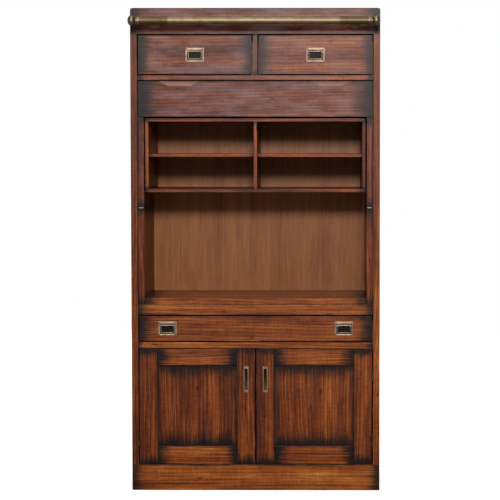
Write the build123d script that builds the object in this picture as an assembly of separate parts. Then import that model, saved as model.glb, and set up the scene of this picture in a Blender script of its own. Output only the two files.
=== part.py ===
"""Tall campaign-style writing cabinet, one STEP file for each named piece.

Millimetres. +Z up, the front faces -Y, +X to the right of someone facing the front.
The origin is on the floor, in the middle of the cabinet's own box in plan.
"""
from build123d import *
import os

# Case, overall
WIDTH = 1050.0
HEIGHT = 2040.0
CASE_DEPTH = 400.0

# Boards
SIDE_T = 28.0
FACE_BOARD_T = 22.0
TOP_T = 28.0
BACK_T = 12.0
DECK_T = 18.0
BATTEN = 18.0
ARRIS = 1.6
FACE_BOARD_CORNER = 12.0

# Front, from the floor up (the clear height of the desk niche takes up the rest)
PLINTH_H = 110.0
DOOR_GAP = 2.0
DOOR_H = 492.0
LOWER_DECK_T = 25.0
DESK_DRAWER_H = 109.0
DESK_RAIL_H = 44.0
DESK_RAIL_T = 30.0
WORKTOP_T = 26.0
CUBBY_H = 311.0
CUBBY_TOP_GAP = 6.0
FRAME_PANEL_H = 150.0
UPPER_DECK_T = 20.0
TOP_DRAWER_H = 164.0
FASCIA_H = 110.0
REVEAL = 4.0

# Pieces between the sides
DIVIDER_T = 20.0
NICHE_SIDE_T = 28.0
CUBBY_SIDE_GAP = 5.0
CUBBY_T = 14.0
CUBBY_SETBACK = 3.0
SHELF_ABOVE_BASE = 230.0
SHELF_SETBACK = 60.0
SHELF_PLAY = 1.0

# Swinging front frame
FRAME_T = 22.0
FRAME_REBATE_PLAY = 2.0
FRAME_LEG_GAP = 6.0
SCOOP_FROM_END = 175.0
SCOOP_TOP_HALF_L = 85.0
SCOOP_BACK_HALF_L = 60.0
SCOOP_LIP_HALF_L = 46.0
SCOOP_H = 22.0
SCOOP_BACK_WALL = 10.0

# Drawers
DRAWER_FRONT_T = 22.0
DRAWER_SIDE_T = 12.0
DRAWER_BOTTOM_T = 6.0
DRAWER_BOTTOM_LIFT = 8.0
DRAWER_GROOVE = 5.0
DRAWER_BACK_PLAY = 26.0
DRAWER_SIDE_PLAY = 2.0
DRAWER_RUN_PLAY = 0.5
DRAWER_HEADROOM = 28.0
GROOVE_PLAY = 0.5

# Doors
DOOR_T = 22.0
DOOR_MIDDLE_GAP = 4.0
STILE_W = 77.0
DOOR_TOP_RAIL_H = 70.0
DOOR_BOTTOM_RAIL_H = 77.0
DOOR_PANEL_T = 10.0
DOOR_GROOVE = 9.0
DOOR_GROOVE_BACK_WALL = 4.0

# Hinges
BARREL_R = 4.0
BARREL_FACE_GAP = 0.5
PIN_R = 2.0
PIN_PLAY = 0.05
LEAF_T = 1.5
LEAF_D = 18.0
KNUCKLE_PLAY = 0.3
DOOR_HINGE_L = 52.0
DOOR_HINGE_FROM_END = 106.0
FRAME_HINGE_INSET = 2.5
FRAME_LEAVES_APART = 0.4

# Drawer pulls: a plate with a pan let into the front, and a bail that hangs in the pan
PLATE_W = 78.0
PLATE_H = 60.0
PLATE_T = 3.5
PLATE_PROUD = 1.5
PLATE_CORNER = 3.0
PLATE_EDGE_R = 0.6
PAN_SIDE_BORDER = 8.5
PAN_TOP_BORDER = 17.5
PAN_BOTTOM_BORDER = 9.5
PAN_DEPTH = 12.0
PAN_WALL = 1.5
BAIL_R = 2.3
BAIL_SIDE_PLAY = 1.2
BAIL_BEND_R = 5.0
BAIL_SET_IN = 3.0
BAIL_TOP_PLAY = 0.9
BAIL_DROP_PLAY = 1.0
BAIL_PIN_R = 1.5
SCREW_HEAD_R = 3.0
SCREW_HEAD_T = 0.8
SCREW_HEAD_SINK = 0.4
SCREW_INSET = 7.0
DESK_PULL_FROM_END = 120.0

# Door pulls: a slim plate with a finger slot
SLIM_W = 21.0
SLIM_H = 110.0
SLIM_T = 3.0
SLIM_SIDE_BORDER = 4.2
SLIM_END_BORDER = 10.0
SLIM_SLOT_ROUNDING = 0.3
SLIM_DEPTH = 11.0
SLIM_PULL_BELOW_TOP = 130.0

# Ladder rail
RAIL_R = 16.0
RAIL_WALL = 1.5
RAIL_STANDOFF = 108.0
RAIL_BELOW_TOP = 61.0
RAIL_END_INSET = 52.0
SLEEVE_WALL = 1.55
SLEEVE_L = 34.0
SLEEVE_FROM_END = 104.0
SLEEVE_PLAY = 0.05
SLEEVE_GROOVE_W = 1.5
SLEEVE_GROOVE_D = 0.8
SLEEVE_GROOVE_INSET = 5.0
BRACKET_FROM_END = 54.0
ROSE_R = 27.0
ROSE_T = 4.0
ROSE_NECK_R = 13.0
ROSE_NECK_T = 10.0
ARM_R = 9.0
ROSE_SCREW_RING_R = 20.5
ROSE_SCREW_HEAD_T = 1.2
BALL_R = 22.5
BALL_HALF_L = 16.5
BALL_END_INSET = 3.0
FINIAL_NECK_R = 9.0
FINIAL_NECK_L = 2.0
FINIAL_DISC_STEP = 3.0
FINIAL_DISC_T = 5.0
FINIAL_COLLAR_STEP = 1.4
FINIAL_SPIGOT_L = 20.0

# How far a cutter runs past the face that it opens
OVERRUN = 1.0

# Places worked out from the sizes above
CASE_FORWARD = RAIL_STANDOFF + BALL_R
FACE_Y = (CASE_FORWARD - CASE_DEPTH) / 2
BACK_Y = FACE_Y + CASE_DEPTH
INNER_BACK_Y = BACK_Y - BACK_T
HALF_W = WIDTH / 2
INNER_X = HALF_W - SIDE_T
NICHE_X = INNER_X - NICHE_SIDE_T
FACE_X = INNER_X - REVEAL
BEHIND_FACE_BOARD_Y = FACE_Y + FACE_BOARD_T

DOOR_Z = PLINTH_H + DOOR_GAP
DOOR_TOP_Z = DOOR_Z + DOOR_H
LOWER_DECK_Z = DOOR_TOP_Z + DOOR_GAP
LOWER_DECK_TOP_Z = LOWER_DECK_Z + LOWER_DECK_T
DESK_DRAWER_Z = LOWER_DECK_TOP_Z + REVEAL
DESK_RAIL_Z = DESK_DRAWER_Z + DESK_DRAWER_H + REVEAL
WORKTOP_Z = DESK_RAIL_Z + DESK_RAIL_H
NICHE_FLOOR_Z = WORKTOP_Z + WORKTOP_T

FASCIA_Z = HEIGHT - FASCIA_H
TOP_DRAWER_Z = FASCIA_Z - REVEAL - TOP_DRAWER_H
UPPER_DECK_TOP_Z = TOP_DRAWER_Z - REVEAL
UPPER_DECK_Z = UPPER_DECK_TOP_Z - UPPER_DECK_T
FRAME_TOP_Z = UPPER_DECK_Z - REVEAL
FRAME_PANEL_Z = FRAME_TOP_Z - FRAME_PANEL_H
CUBBY_TOP_Z = FRAME_PANEL_Z - CUBBY_TOP_GAP
CUBBY_Z = CUBBY_TOP_Z - CUBBY_H
FRAME_HINGE_Z = (NICHE_FLOOR_Z + FRAME_PANEL_Z) / 2
HINGE_Y = FACE_Y - BARREL_R - BARREL_FACE_GAP
DOOR_HINGE_X = (INNER_X + FACE_X) / 2
FRAME_LEG_W = NICHE_SIDE_T - FRAME_LEG_GAP
FRAME_FOOT_GAP = 2 * LEAF_T + FRAME_LEAVES_APART
FRAME_HINGE_L = FRAME_LEG_W - 2 * FRAME_HINGE_INSET
SCOOP_DEPTH = FRAME_T - SCOOP_BACK_WALL
SCOOP_CENTRE_X = FACE_X - SCOOP_FROM_END
DOOR_PANEL_SETBACK = DOOR_T - DOOR_PANEL_T - DOOR_GROOVE_BACK_WALL
SHELF_Z = PLINTH_H + SHELF_ABOVE_BASE

PAN_W = PLATE_W - 2 * PAN_SIDE_BORDER
PAN_H = PLATE_H - PAN_TOP_BORDER - PAN_BOTTOM_BORDER
PAN_DROP = (PAN_TOP_BORDER - PAN_BOTTOM_BORDER) / 2
SLIM_SLOT_W = SLIM_W - 2 * SLIM_SIDE_BORDER
SLIM_SLOT_H = SLIM_H - 2 * SLIM_END_BORDER

TUBE_END_X = HALF_W - RAIL_END_INSET
SLEEVE_X = TUBE_END_X - SLEEVE_FROM_END
BRACKET_X = TUBE_END_X - BRACKET_FROM_END
SLEEVE_R = RAIL_R + SLEEVE_PLAY + SLEEVE_WALL


def block(x0, x1, y0, y1, z0, z1, arris=0.0):
    """A board between two corners, with its edges rounded by the arris."""
    middle = ((x0 + x1) / 2, (y0 + y1) / 2, (z0 + z1) / 2)
    board = Pos(*middle) * Box(x1 - x0, y1 - y0, z1 - z0)
    if arris > 0:
        board = fillet(board.edges(), arris)
    return board


def rod(x, y, z, axis, radius, length):
    """A round bar centred on a point."""
    turn = {"X": (0, 90, 0), "Y": (90, 0, 0), "Z": (0, 0, 0)}[axis]
    return Pos(x, y, z) * Rot(*turn) * Cylinder(radius, length)


def flip(shape):
    """The mirror image on the other side of the cabinet."""
    return mirror(shape, about=Plane.YZ)


def both_sides(shape):
    return [shape, flip(shape)]


def save(node, *shapes):
    """Write one node, as one or more separate solids."""
    solids = [solid for shape in shapes for solid in shape.solids()]
    export_step(Compound(solids) if len(solids) > 1 else solids[0], f"parts/{node}.step")


# ---- Case -------------------------------------------------------------------------

def side_panel():
    """A side board, stepped back at top and bottom for the two full-width face boards."""
    board = block(INNER_X, HALF_W, FACE_Y, BACK_Y, 0, HEIGHT, ARRIS)
    over = ARRIS + OVERRUN
    front = FACE_Y - over
    board -= block(INNER_X - over, HALF_W + over, front, BEHIND_FACE_BOARD_Y, FASCIA_Z, HEIGHT + over)
    board -= block(INNER_X - over, HALF_W + over, front, BEHIND_FACE_BOARD_Y, -over, PLINTH_H)
    return board


def fascia_board():
    """The full-width board at the top, with its two upper corners rounded."""
    board = block(-HALF_W, HALF_W, FACE_Y, BEHIND_FACE_BOARD_Y, FASCIA_Z, HEIGHT)
    corners = board.edges().filter_by(Axis.Y).group_by(Axis.Z)[-1]
    board = fillet(corners, FACE_BOARD_CORNER)
    front_edges = board.faces().sort_by(Axis.Y)[0].edges()
    return fillet(front_edges, ARRIS)


def case():
    right = side_panel()
    save("side_right", right)
    save("side_left", flip(right))
    save("fascia_board", fascia_board())
    save("plinth_board", block(-HALF_W, HALF_W, FACE_Y, BEHIND_FACE_BOARD_Y, 0, PLINTH_H, ARRIS))
    back = INNER_BACK_Y
    between = (-INNER_X, INNER_X)
    save("top_panel", block(*between, BEHIND_FACE_BOARD_Y, BACK_Y, HEIGHT - TOP_T, HEIGHT))
    save("back_panel", block(*between, back, BACK_Y, PLINTH_H - DECK_T, HEIGHT - TOP_T))
    save("base_deck", block(*between, BEHIND_FACE_BOARD_Y, back, PLINTH_H - DECK_T, PLINTH_H))
    save("plinth_back_rail", block(*between, BACK_Y - DECK_T, BACK_Y, 0, PLINTH_H - DECK_T))
    save("lower_deck", block(*between, FACE_Y, back, LOWER_DECK_Z, LOWER_DECK_TOP_Z, ARRIS))
    rail_back = FACE_Y + DESK_RAIL_T
    save("desk_rail", block(*between, FACE_Y, rail_back, DESK_RAIL_Z, WORKTOP_Z, ARRIS))
    save("dust_board", block(*between, rail_back, back, WORKTOP_Z - DECK_T, WORKTOP_Z))
    save("worktop", block(-NICHE_X, NICHE_X, FACE_Y, back, WORKTOP_Z, NICHE_FLOOR_Z, ARRIS))
    save("upper_deck", block(*between, FACE_Y, back, UPPER_DECK_Z, UPPER_DECK_TOP_Z, ARRIS))
    half = DIVIDER_T / 2
    save("drawer_divider", block(-half, half, FACE_Y, back, UPPER_DECK_TOP_Z, FASCIA_Z, ARRIS))


def niche_sides():
    """Side linings of the desk niche. Below the hinge they come forward as fixed legs."""
    lining = block(NICHE_X, INNER_X, FACE_Y, INNER_BACK_Y, WORKTOP_Z, UPPER_DECK_Z, ARRIS)
    rebate_back = FACE_Y + FRAME_T + FRAME_REBATE_PLAY
    step_z = FRAME_HINGE_Z - FRAME_FOOT_GAP / 2
    gap_x = (INNER_X - FRAME_LEG_GAP, INNER_X + OVERRUN)
    wide = (NICHE_X - OVERRUN, INNER_X + OVERRUN)
    lining -= block(*wide, FACE_Y - OVERRUN, rebate_back, step_z, UPPER_DECK_Z + OVERRUN)
    lining -= block(*gap_x, FACE_Y - OVERRUN, FACE_Y + FRAME_T, WORKTOP_Z - OVERRUN, step_z + OVERRUN)
    save("niche_side_right", lining)
    save("niche_side_left", flip(lining))


def cubby():
    """The pigeonhole insert: two shelves either side of a divider."""
    front = FACE_Y + CUBBY_SETBACK
    back = INNER_BACK_Y
    outer = NICHE_X - CUBBY_SIDE_GAP
    inner = outer - CUBBY_T
    floor = CUBBY_Z + CUBBY_T
    ceiling = CUBBY_TOP_Z - CUBBY_T
    half = CUBBY_T / 2
    middle = (floor + ceiling) / 2
    save("cubby_top", block(-outer, outer, front, back, ceiling, CUBBY_TOP_Z, ARRIS))
    save("cubby_base", block(-outer, outer, front, back, CUBBY_Z, floor, ARRIS))
    save("cubby_sides", *both_sides(block(inner, outer, front, back, floor, ceiling, ARRIS)))
    save("cubby_divider", block(-half, half, front, back, floor, ceiling, ARRIS))
    shelf = block(half, inner, front, back, middle - half, middle + half, ARRIS)
    save("cubby_shelves", *both_sides(shelf))


def cupboard_shelf():
    front = FACE_Y + SHELF_SETBACK
    wide = INNER_X - SHELF_PLAY
    back = INNER_BACK_Y - SHELF_PLAY
    save("cupboard_shelf", block(-wide, wide, front, back, SHELF_Z, SHELF_Z + DECK_T, ARRIS))
    cleat = block(INNER_X - BATTEN, INNER_X, front, INNER_BACK_Y, SHELF_Z - BATTEN, SHELF_Z)
    save("shelf_cleats", *both_sides(cleat))


# ---- Hinges -----------------------------------------------------------------------

def knuckle_spans(length):
    """Three knuckles: the middle one is on the fixed leaf, with the pin."""
    third = length / 3
    middle = (-third / 2, third / 2)
    play = KNUCKLE_PLAY
    outer = [(-length / 2, -third / 2 - play), (third / 2 + play, length / 2)]
    return middle, outer


def upright_barrel(spans, bored):
    """Knuckles about the Z axis, bored for the pin or carrying it."""
    parts = []
    for low, high in spans:
        knuckle = Pos(0, 0, (low + high) / 2) * Cylinder(BARREL_R, high - low)
        if bored:
            knuckle -= Cylinder(PIN_R + PIN_PLAY, 4 * max(-low, high))
        parts.append(knuckle)
    return parts


def butt_hinge(length, joint_width):
    """Fixed and moving halves. The axis is Z, leaves run to +Y, the fixed leaf is on +X."""
    middle, outer = knuckle_spans(length)
    gap = joint_width / 2
    past = BARREL_R + KNUCKLE_PLAY
    fixed = block(gap - LEAF_T, gap, past, past + LEAF_D, -length / 2, length / 2)
    fixed += block(gap - LEAF_T, gap, 0, past, *middle)
    fixed += upright_barrel([middle], False)[0]
    fixed += Cylinder(PIN_R, length)
    moving = block(-gap, LEAF_T - gap, past, past + LEAF_D, -length / 2, length / 2)
    for span, knuckle in zip(outer, upright_barrel(outer, True)):
        tab = block(-gap, LEAF_T - gap, 0, past, *span)
        tab -= Cylinder(PIN_R + PIN_PLAY, 2 * length)
        moving += tab
        moving += knuckle
    return fixed, moving


def door_hinges():
    fixed, moving = butt_hinge(DOOR_HINGE_L, REVEAL)
    heights = [DOOR_TOP_Z - DOOR_HINGE_FROM_END, DOOR_Z + DOOR_HINGE_FROM_END]
    places = [Pos(DOOR_HINGE_X, HINGE_Y, z) for z in heights]
    fixed_right = [place * fixed for place in places]
    moving_right = [place * moving for place in places]
    save("door_hinge_fixed_leaves", *fixed_right, *[flip(leaf) for leaf in fixed_right])
    save("door_right_hinges", *moving_right)
    save("door_left_hinges", *[flip(leaf) for leaf in moving_right])


def frame_hinges():
    """Butt hinges in the joint half way down each leg: leaves lie flat, the barrel runs along X."""
    fixed, moving = butt_hinge(FRAME_HINGE_L, FRAME_FOOT_GAP)
    place = Pos(NICHE_X + FRAME_LEG_W / 2, HINGE_Y, FRAME_HINGE_Z) * Rot(0, 90, 0)
    save("frame_hinge_fixed_leaves", *both_sides(place * fixed))
    save("frame_hinge_moving_leaves", *both_sides(place * moving))


# ---- Swinging front frame ---------------------------------------------------------

def finger_scoop():
    """What a scoop takes away, about the middle of the top front edge: a floor that rises
    backwards from the lip, and an end face each side that runs out to the board's edge."""
    wide = SCOOP_TOP_HALF_L + SCOOP_H
    space = block(-wide, wide, -OVERRUN, SCOOP_DEPTH, -SCOOP_H, OVERRUN)
    floor = Plane(origin=(0, 0, -SCOOP_H), z_dir=(0, -SCOOP_H, SCOOP_DEPTH))
    space = split(space, bisect_by=floor, keep=Keep.TOP)
    lip = Vector(SCOOP_LIP_HALF_L, 0, -SCOOP_H)
    back_corner = Vector(SCOOP_BACK_HALF_L, SCOOP_DEPTH, 0)
    edge = Vector(SCOOP_TOP_HALF_L, 0, 0)
    inward = (edge - lip).cross(back_corner - lip)
    end = Plane(origin=lip, z_dir=inward)
    space = split(space, bisect_by=end, keep=Keep.TOP)
    return space & flip(space)


def front_frame():
    """A top panel with two finger scoops, on two legs that are hinged half way down."""
    back = FACE_Y + FRAME_T
    panel = block(-FACE_X, FACE_X, FACE_Y, back, FRAME_PANEL_Z, FRAME_TOP_Z, ARRIS)
    for x in (-SCOOP_CENTRE_X, SCOOP_CENTRE_X):
        panel -= Pos(x, FACE_Y, FRAME_TOP_Z) * finger_scoop()
    save("frame_panel", panel)
    foot = FRAME_HINGE_Z + FRAME_FOOT_GAP / 2
    leg = block(NICHE_X, NICHE_X + FRAME_LEG_W, FACE_Y, back, foot, FRAME_PANEL_Z, ARRIS)
    save("frame_legs", *both_sides(leg))


# ---- Drawer pulls -----------------------------------------------------------------

def pan_box(grow, depth):
    """The pan's space behind the plate's face, at the plate's centre."""
    half_w = PAN_W / 2 + grow
    half_h = PAN_H / 2 + grow
    return block(-half_w, half_w, -OVERRUN, depth, -PAN_DROP - half_h, half_h - PAN_DROP)


def screw_head(x, z):
    """A low round head, sunk a little into a plate whose face is at y = 0."""
    middle = (SCREW_HEAD_SINK - SCREW_HEAD_T) / 2
    return rod(x, middle, z, "Y", SCREW_HEAD_R, SCREW_HEAD_T + SCREW_HEAD_SINK)


def bail_pivot():
    """Height above the plate's centre, and depth behind its face, of the bail's pivot."""
    return -PAN_DROP + PAN_H / 2 - BAIL_R - BAIL_TOP_PLAY, BAIL_SET_IN


def pull_plate():
    """Plate, pan and the four screw heads that hold it, about the plate's centre."""
    plate = block(-PLATE_W / 2, PLATE_W / 2, 0, PLATE_T, -PLATE_H / 2, PLATE_H / 2)
    plate = fillet(plate.edges().filter_by(Axis.Y), PLATE_CORNER)
    plate = fillet(plate.faces().sort_by(Axis.Y)[0].edges(), PLATE_EDGE_R)
    behind_edge = Pos(0, OVERRUN + PLATE_EDGE_R, 0)
    plate += behind_edge * pan_box(PAN_WALL, PAN_DEPTH + PAN_WALL - OVERRUN - PLATE_EDGE_R)
    plate -= pan_box(0, PAN_DEPTH)
    pivot_z, pivot_y = bail_pivot()
    plate -= rod(0, pivot_y, pivot_z, "X", BAIL_PIN_R + PIN_PLAY, PAN_W + 2 * (PAN_WALL + OVERRUN))
    screw_x = PLATE_W / 2 - SCREW_INSET
    screw_z = PLATE_H / 2 - SCREW_INSET
    for x in (-screw_x, screw_x):
        for z in (-screw_z, screw_z):
            plate += screw_head(x, z)
    return plate


def bail():
    """The hanging handle: a bent rod with a pivot pin at the top of each arm."""
    pivot_z, pivot_y = bail_pivot()
    arm_x = PAN_W / 2 - BAIL_SIDE_PLAY - BAIL_R
    bar_z = -PAN_DROP - PAN_H / 2 + BAIL_DROP_PLAY + BAIL_R
    points = [(-arm_x, pivot_y, pivot_z), (-arm_x, pivot_y, bar_z), (arm_x, pivot_y, bar_z),
              (arm_x, pivot_y, pivot_z)]
    path = FilletPolyline(*points, radius=BAIL_BEND_R)
    handle = sweep(Plane(path @ 0, z_dir=path % 0) * Circle(BAIL_R), path)
    for x in (-arm_x, arm_x):
        handle += Pos(x, pivot_y, pivot_z) * Sphere(BAIL_R)
        reach = PAN_W / 2 + PAN_WALL - arm_x
        outward = 1 if x > 0 else -1
        handle += rod(x + outward * reach / 2, pivot_y, pivot_z, "X", BAIL_PIN_R, reach)
    return handle


def pull_mortise():
    """What the drawer front loses for one pull: a shallow bed and the pan's pocket."""
    bed = block(-PLATE_W / 2, PLATE_W / 2, -OVERRUN, PLATE_T, -PLATE_H / 2, PLATE_H / 2)
    bed = fillet(bed.edges().filter_by(Axis.Y), PLATE_CORNER)
    return bed + pan_box(PAN_WALL, PAN_DEPTH + PAN_WALL)


# ---- Drawers ----------------------------------------------------------------------

def drawer(name, x0, x1, floor_z, face_z, face_h, pull_xs, pull_names):
    """A drawer between two uprights at x0 and x1, running on the deck at floor_z."""
    front = block(x0 + REVEAL, x1 - REVEAL, FACE_Y, FACE_Y + DRAWER_FRONT_T, face_z, face_z + face_h, ARRIS)
    pull_z = face_z + face_h / 2
    places = [Pos(x, FACE_Y - PLATE_PROUD, pull_z) for x in pull_xs]
    for place in places:
        front -= place * pull_mortise()
    save(f"{name}_front", front)
    save(f"{name}_pull" + ("s" if len(places) > 1 else ""), *[place * pull_plate() for place in places])
    for place, bail_name in zip(places, pull_names):
        save(bail_name, place * bail())

    box_y = FACE_Y + DRAWER_FRONT_T
    back_y = INNER_BACK_Y - DRAWER_BACK_PLAY
    low = floor_z + DRAWER_RUN_PLAY
    high = floor_z + REVEAL + face_h - DRAWER_HEADROOM
    left = x0 + DRAWER_SIDE_PLAY
    right = x1 - DRAWER_SIDE_PLAY
    bottom_z = low + DRAWER_BOTTOM_LIFT
    groove_top = bottom_z + DRAWER_BOTTOM_T
    inner_l = left + DRAWER_SIDE_T
    inner_r = right - DRAWER_SIDE_T
    reach = DRAWER_GROOVE + GROOVE_PLAY
    groove_y = (box_y - OVERRUN, back_y + OVERRUN)
    grooves = block(inner_l - reach, inner_r + reach, *groove_y, bottom_z, groove_top)
    side_l = block(left, inner_l, box_y, back_y, low, high) - grooves
    side_r = block(inner_r, right, box_y, back_y, low, high) - grooves
    rear = block(inner_l, inner_r, back_y - DRAWER_SIDE_T, back_y, groove_top, high)
    save(f"{name}_box", side_l, side_r, rear)
    bottom_x = (inner_l - DRAWER_GROOVE, inner_r + DRAWER_GROOVE)
    save(f"{name}_bottom", block(*bottom_x, box_y, back_y, bottom_z, groove_top))


def drawers():
    half = DIVIDER_T / 2
    centre = (half + INNER_X) / 2
    top = (UPPER_DECK_TOP_Z, TOP_DRAWER_Z, TOP_DRAWER_H)
    drawer("drawer_left", -INNER_X, -half, *top, [-centre], ["drawer_left_bail"])
    drawer("drawer_right", half, INNER_X, *top, [centre], ["drawer_right_bail"])
    desk = (LOWER_DECK_TOP_Z, DESK_DRAWER_Z, DESK_DRAWER_H)
    bails = ["desk_drawer_bail_left", "desk_drawer_bail_right"]
    pull_x = FACE_X - DESK_PULL_FROM_END
    drawer("desk_drawer", -INNER_X, INNER_X, *desk, [-pull_x, pull_x], bails)


# ---- Doors ------------------------------------------------------------------------

def slim_slot(grow, start, end):
    """The finger slot's space between two depths behind the plate's face."""
    half_w = SLIM_SLOT_W / 2 + grow
    half_h = SLIM_SLOT_H / 2 + grow
    slot = block(-half_w, half_w, start, end, -half_h, half_h)
    return fillet(slot.edges().filter_by(Axis.Y), half_w * SLIM_SLOT_ROUNDING)


def slim_pull():
    """A slim brass plate with a finger slot, about the plate's centre."""
    plate = block(-SLIM_W / 2, SLIM_W / 2, 0, SLIM_T, -SLIM_H / 2, SLIM_H / 2)
    plate = fillet(plate.edges().filter_by(Axis.Y), PLATE_CORNER)
    plate = fillet(plate.faces().sort_by(Axis.Y)[0].edges(), PLATE_EDGE_R)
    plate += slim_slot(PAN_WALL, PLATE_EDGE_R, SLIM_DEPTH + PAN_WALL)
    plate -= slim_slot(0, -OVERRUN, SLIM_DEPTH)
    screw_z = (SLIM_H + SLIM_SLOT_H) / 4
    for z in (-screw_z, screw_z):
        plate += screw_head(0, z)
    return plate


def slim_mortise():
    bed = block(-SLIM_W / 2, SLIM_W / 2, -OVERRUN, SLIM_T, -SLIM_H / 2, SLIM_H / 2)
    bed = fillet(bed.edges().filter_by(Axis.Y), PLATE_CORNER)
    return bed + slim_slot(PAN_WALL, -OVERRUN, SLIM_DEPTH + PAN_WALL)


def door():
    """Pieces of the right-hand door; the left-hand one is its mirror image."""
    inner_x = DOOR_MIDDLE_GAP / 2
    outer_x = FACE_X
    back = FACE_Y + DOOR_T
    groove_y = FACE_Y + DOOR_PANEL_SETBACK
    field = (inner_x + STILE_W, outer_x - STILE_W)
    low = DOOR_Z + DOOR_BOTTOM_RAIL_H
    high = DOOR_TOP_Z - DOOR_TOP_RAIL_H
    reach = DOOR_GROOVE + GROOVE_PLAY
    groove = block(field[0] - reach, field[1] + reach, groove_y, groove_y + DOOR_PANEL_T,
                   low - reach, high + reach)
    stile_in = block(inner_x, field[0], FACE_Y, back, DOOR_Z, DOOR_TOP_Z, ARRIS)
    stile_out = block(field[1], outer_x, FACE_Y, back, DOOR_Z, DOOR_TOP_Z, ARRIS)
    pull_z = DOOR_TOP_Z - SLIM_PULL_BELOW_TOP
    pull_place = Pos(inner_x + STILE_W / 2, FACE_Y - PLATE_PROUD, pull_z)
    stile_in = stile_in - groove - pull_place * slim_mortise()
    stile_out = stile_out - groove
    rail_top = block(*field, FACE_Y, back, high, DOOR_TOP_Z, ARRIS) - groove
    rail_bottom = block(*field, FACE_Y, back, DOOR_Z, low, ARRIS) - groove
    panel = block(field[0] - DOOR_GROOVE, field[1] + DOOR_GROOVE, groove_y, groove_y + DOOR_PANEL_T,
                  low - DOOR_GROOVE, high + DOOR_GROOVE)
    return {"stiles": [stile_in, stile_out], "rails": [rail_top, rail_bottom], "panel": [panel],
            "pull": [pull_place * slim_pull()]}


def doors():
    for piece, shapes in door().items():
        save(f"door_right_{piece}", *shapes)
        save(f"door_left_{piece}", *[flip(shape) for shape in shapes])


# ---- Ladder rail ------------------------------------------------------------------

def finial():
    """Collar, disc, neck and ball for the right-hand end of the rail, with its spigot."""
    ball_x = HALF_W - BALL_END_INSET - BALL_HALF_L
    disc_x = ball_x - BALL_HALF_L - FINIAL_NECK_L
    bore = RAIL_R - RAIL_WALL
    ball = Pos(ball_x, 0, 0) * scale(Sphere(BALL_R), by=(BALL_HALF_L / BALL_R, 1, 1))
    collar_l = disc_x - TUBE_END_X
    piece = rod((TUBE_END_X + disc_x) / 2, 0, 0, "X", RAIL_R + FINIAL_COLLAR_STEP, collar_l)
    piece += rod(disc_x - FINIAL_DISC_T / 2, 0, 0, "X", RAIL_R + FINIAL_DISC_STEP, FINIAL_DISC_T)
    piece += rod((disc_x + ball_x) / 2, 0, 0, "X", FINIAL_NECK_R, ball_x - disc_x)
    piece += rod(TUBE_END_X - FINIAL_SPIGOT_L / 2, 0, 0, "X", bore, FINIAL_SPIGOT_L)
    piece += ball
    return piece


def rail_bracket():
    """A round rose on the fascia board with an arm that carries the tube in a saddle."""
    face = FACE_Y
    steps = [(0, ROSE_R, ROSE_T), (ROSE_T, ROSE_NECK_R, ROSE_NECK_T),
             (ROSE_T + ROSE_NECK_T, ARM_R, RAIL_STANDOFF - ROSE_T - ROSE_NECK_T)]
    bracket = None
    for start, radius, length in steps:
        stage = rod(0, face - start - length / 2, 0, "Y", radius, length)
        bracket = stage if bracket is None else bracket + stage
    bracket -= rod(0, FACE_Y - RAIL_STANDOFF, 0, "X", RAIL_R, 4 * RAIL_R)
    return bracket.solids().sort_by(Axis.Y)[-1]


def ladder_rail():
    rail_y = FACE_Y - RAIL_STANDOFF
    rail_z = HEIGHT - RAIL_BELOW_TOP
    tube = rod(0, rail_y, rail_z, "X", RAIL_R, 2 * TUBE_END_X)
    tube -= rod(0, rail_y, rail_z, "X", RAIL_R - RAIL_WALL, 2 * (TUBE_END_X + OVERRUN))
    save("rail_tube", tube)
    sleeve = rod(SLEEVE_X, rail_y, rail_z, "X", SLEEVE_R, SLEEVE_L)
    sleeve -= rod(SLEEVE_X, rail_y, rail_z, "X", RAIL_R + SLEEVE_PLAY, SLEEVE_L + 2 * OVERRUN)
    groove_x = SLEEVE_L / 2 - SLEEVE_GROOVE_INSET
    for x in (SLEEVE_X - groove_x, SLEEVE_X + groove_x):
        ring = rod(x, rail_y, rail_z, "X", SLEEVE_R + OVERRUN, SLEEVE_GROOVE_W)
        sleeve -= ring - rod(x, rail_y, rail_z, "X", SLEEVE_R - SLEEVE_GROOVE_D, SLEEVE_GROOVE_W)
    save("rail_sleeves", *both_sides(sleeve))
    save("rail_finials", *both_sides(Pos(0, rail_y, rail_z) * finial()))
    save("rail_brackets", *both_sides(Pos(BRACKET_X, 0, rail_z) * rail_bracket()))
    screws = []
    screw_y = FACE_Y - ROSE_T - ROSE_SCREW_HEAD_T / 2
    for place in PolarLocations(ROSE_SCREW_RING_R, 3, start_angle=90):
        spot = place.position
        seat = (BRACKET_X + spot.X, screw_y, rail_z + spot.Y)
        screws.append(rod(*seat, "Y", SCREW_HEAD_R, ROSE_SCREW_HEAD_T))
    save("bracket_screws", *screws, *[flip(screw) for screw in screws])


os.makedirs("parts", exist_ok=True)
case()
niche_sides()
cubby()
cupboard_shelf()
front_frame()
frame_hinges()
door_hinges()
drawers()
doors()
ladder_rail()
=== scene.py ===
"""Tall campaign-style writing cabinet: stained and burnished wood with aged brass fittings.

Metres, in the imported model's own frame: +Z up, the front faces -Y.
"""
import math

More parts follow.
